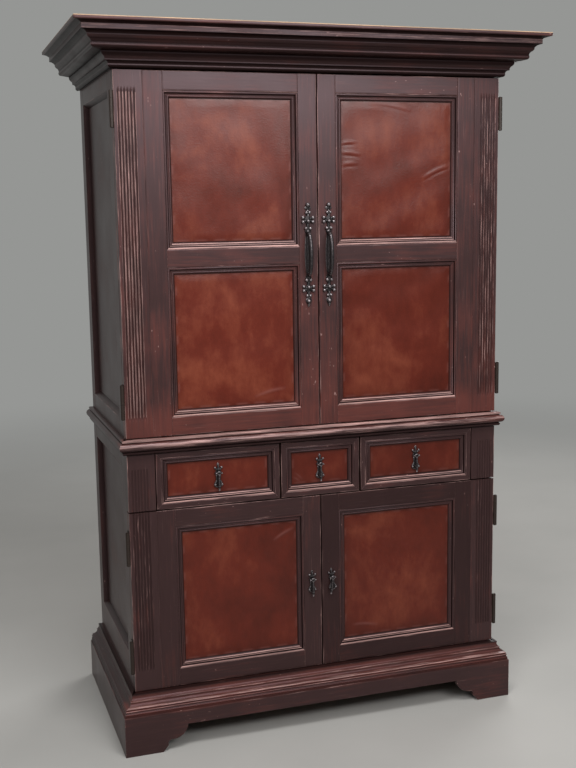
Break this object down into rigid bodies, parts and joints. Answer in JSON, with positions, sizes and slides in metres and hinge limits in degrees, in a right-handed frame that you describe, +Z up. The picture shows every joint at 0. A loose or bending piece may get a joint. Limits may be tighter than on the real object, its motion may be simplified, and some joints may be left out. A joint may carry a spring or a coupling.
{
  "type": "tv armoire",
  "caption": "Tall two-part armoire with a deep stepped cornice, fluted leather-panelled doors above and below a drawer row, iron pulls and hinges, on bracket feet.",
  "frame": {"origin": "centre of the footprint of the whole part, at floor level", "axes": "+Z up, the doors face -Y, +X to the right of a person facing the doors"},
  "size_m": [1.435, 0.7416, 2.13],
  "materials": {
    "dark_painted_wood": "distressed satin",
    "inside_wood": "plain",
    "worn_top_wood": "worn edge",
    "leather": "mottled satin",
    "black_iron": "black, rubbed",
    "hinge_steel": "black"
  },
  "bodies": {
    "carcass": {"base_front_board": "dark_painted_wood", "base_side_boards": "dark_painted_wood", "base_inner_frame": "inside_wood", "base_moulding": "dark_painted_wood", "lower_side_frames": "dark_painted_wood", "lower_side_panels": "dark_painted_wood", "upper_side_frames": "dark_painted_wood", "upper_side_panels": "dark_painted_wood", "lower_case_boards": "inside_wood", "upper_case_boards": "inside_wood", "lower_back_boards": "inside_wood", "upper_back_boards": "inside_wood", "shelves": "inside_wood", "shelf_cleats": "inside_wood", "door_catches": "hinge_steel", "drawer_end_blocks": "dark_painted_wood", "drawer_partitions": "inside_wood", "drawer_runners": "inside_wood", "waist_moulding": "dark_painted_wood", "cornice_moulding": "dark_painted_wood", "cornice_top_board": "worn_top_wood", "case_hinge_leaves": "hinge_steel"},
    "upper_left_door": {"upper_left_door_frame": "dark_painted_wood", "upper_left_door_mouldings": "dark_painted_wood", "upper_left_door_leather": "leather", "upper_left_door_hinge_leaves": "hinge_steel", "upper_left_door_pull": "black_iron"},
    "upper_right_door": {"upper_right_door_frame": "dark_painted_wood", "upper_right_door_mouldings": "dark_painted_wood", "upper_right_door_leather": "leather", "upper_right_door_hinge_leaves": "hinge_steel", "upper_right_door_pull": "black_iron"},
    "lower_left_door": {"lower_left_door_frame": "dark_painted_wood", "lower_left_door_mouldings": "dark_painted_wood", "lower_left_door_leather": "leather", "lower_left_door_hinge_leaves": "hinge_steel", "lower_left_door_pull_plate": "black_iron"},
    "lower_left_door_drop": {"lower_left_door_drop": "black_iron"},
    "lower_right_door": {"lower_right_door_frame": "dark_painted_wood", "lower_right_door_mouldings": "dark_painted_wood", "lower_right_door_leather": "leather", "lower_right_door_hinge_leaves": "hinge_steel", "lower_right_door_pull_plate": "black_iron"},
    "lower_right_door_drop": {"lower_right_door_drop": "black_iron"},
    "left_drawer": {"left_drawer_front": "dark_painted_wood", "left_drawer_leather": "leather", "left_drawer_box": "inside_wood", "left_drawer_pull_plate": "black_iron"},
    "left_drawer_drop": {"left_drawer_drop": "black_iron"},
    "centre_drawer": {"centre_drawer_front": "dark_painted_wood", "centre_drawer_leather": "leather", "centre_drawer_box": "inside_wood", "centre_drawer_pull_plate": "black_iron"},
    "centre_drawer_drop": {"centre_drawer_drop": "black_iron"},
    "right_drawer": {"right_drawer_front": "dark_painted_wood", "right_drawer_leather": "leather", "right_drawer_box": "inside_wood", "right_drawer_pull_plate": "black_iron"},
    "right_drawer_drop": {"right_drawer_drop": "black_iron"}
  },
  "joints": [
    {"name": "upper_left_door_hinge", "type": "hinge", "parent": "carcass", "child": "upper_left_door", "pos_m": [-0.6065, -0.25325, 1.4835], "axis": [0, 0, -1], "range_deg": [0, 180]},
    {"name": "upper_right_door_hinge", "type": "hinge", "parent": "carcass", "child": "upper_right_door", "pos_m": [0.6065, -0.25325, 1.4835], "axis": [0, 0, 1], "range_deg": [0, 180]},
    {"name": "lower_left_door_hinge", "type": "hinge", "parent": "carcass", "child": "lower_left_door", "pos_m": [-0.6065, -0.25325, 0.4615], "axis": [0, 0, -1], "range_deg": [0, 180]},
    {"name": "lower_left_door_drop_swing", "type": "hinge", "parent": "lower_left_door", "child": "lower_left_door_drop", "pos_m": [-0.033, -0.26625, 0.4715], "axis": [-1, 0, 0], "range_deg": [0, 75]},
    {"name": "lower_right_door_hinge", "type": "hinge", "parent": "carcass", "child": "lower_right_door", "pos_m": [0.6065, -0.25325, 0.4615], "axis": [0, 0, 1], "range_deg": [0, 180]},
    {"name": "lower_right_door_drop_swing", "type": "hinge", "parent": "lower_right_door", "child": "lower_right_door_drop", "pos_m": [0.033, -0.26625, 0.4715], "axis": [-1, 0, 0], "range_deg": [0, 75]},
    {"name": "left_drawer_slide", "type": "slide", "parent": "carcass", "child": "left_drawer", "axis": [0, -1, 0], "range_m": [0, 0.36]},
    {"name": "left_drawer_drop_swing", "type": "hinge", "parent": "left_drawer", "child": "left_drawer_drop", "pos_m": [-0.32425, -0.25625, 0.836], "axis": [-1, 0, 0], "range_deg": [0, 75]},
    {"name": "centre_drawer_slide", "type": "slide", "parent": "carcass", "child": "centre_drawer", "axis": [0, -1, 0], "range_m": [0, 0.36]},
    {"name": "centre_drawer_drop_swing", "type": "hinge", "parent": "centre_drawer", "child": "centre_drawer_drop", "pos_m": [0, -0.25625, 0.836], "axis": [-1, 0, 0], "range_deg": [0, 75]},
    {"name": "right_drawer_slide", "type": "slide", "parent": "carcass", "child": "right_drawer", "axis": [0, -1, 0], "range_m": [0, 0.36]},
    {"name": "right_drawer_drop_swing", "type": "hinge", "parent": "right_drawer", "child": "right_drawer_drop", "pos_m": [0.32425, -0.25625, 0.836], "axis": [-1, 0, 0], "range_deg": [0, 75]}
  ]
}
